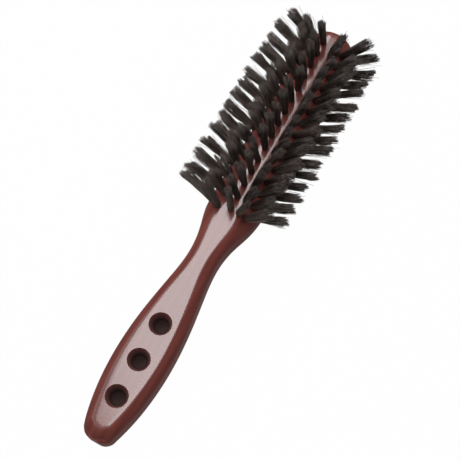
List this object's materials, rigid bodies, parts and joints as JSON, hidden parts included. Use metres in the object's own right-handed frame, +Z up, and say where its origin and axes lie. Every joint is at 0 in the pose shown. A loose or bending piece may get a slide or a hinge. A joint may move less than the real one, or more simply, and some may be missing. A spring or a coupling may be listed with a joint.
{
  "type": "beard brush",
  "caption": "Half-round wooden beard brush with a waisted handle, dished thumb recesses in the grip and rows of stiff bristle tufts fanned over the rounded head.",
  "frame": {"origin": "on the flat back, in the middle of the brush's length and width", "axes": "+Z up from the flat back out through the bristles, +Y along the brush from the handle to the head, +X to the right"},
  "size_m": [0.0568, 0.2212, 0.0355],
  "materials": {
    "lacquered_wood": "red-brown stain under clear gloss lacquer",
    "bristle": "near-black stiff bristle, slightly glossy",
    "anchor_wire": "plain flat wire"
  },
  "bodies": {
    "root": {"wooden_body": "lacquered_wood", "tufts_left_inner": "bristle", "tufts_left_middle": "bristle", "tufts_left_outer": "bristle", "tufts_right_inner": "bristle", "tufts_right_middle": "bristle", "tufts_right_outer": "bristle", "anchors_left_inner": "anchor_wire", "anchors_left_middle": "anchor_wire", "anchors_left_outer": "anchor_wire", "anchors_right_inner": "anchor_wire", "anchors_right_middle": "anchor_wire", "anchors_right_outer": "anchor_wire"}
  },
  "joints": []
}
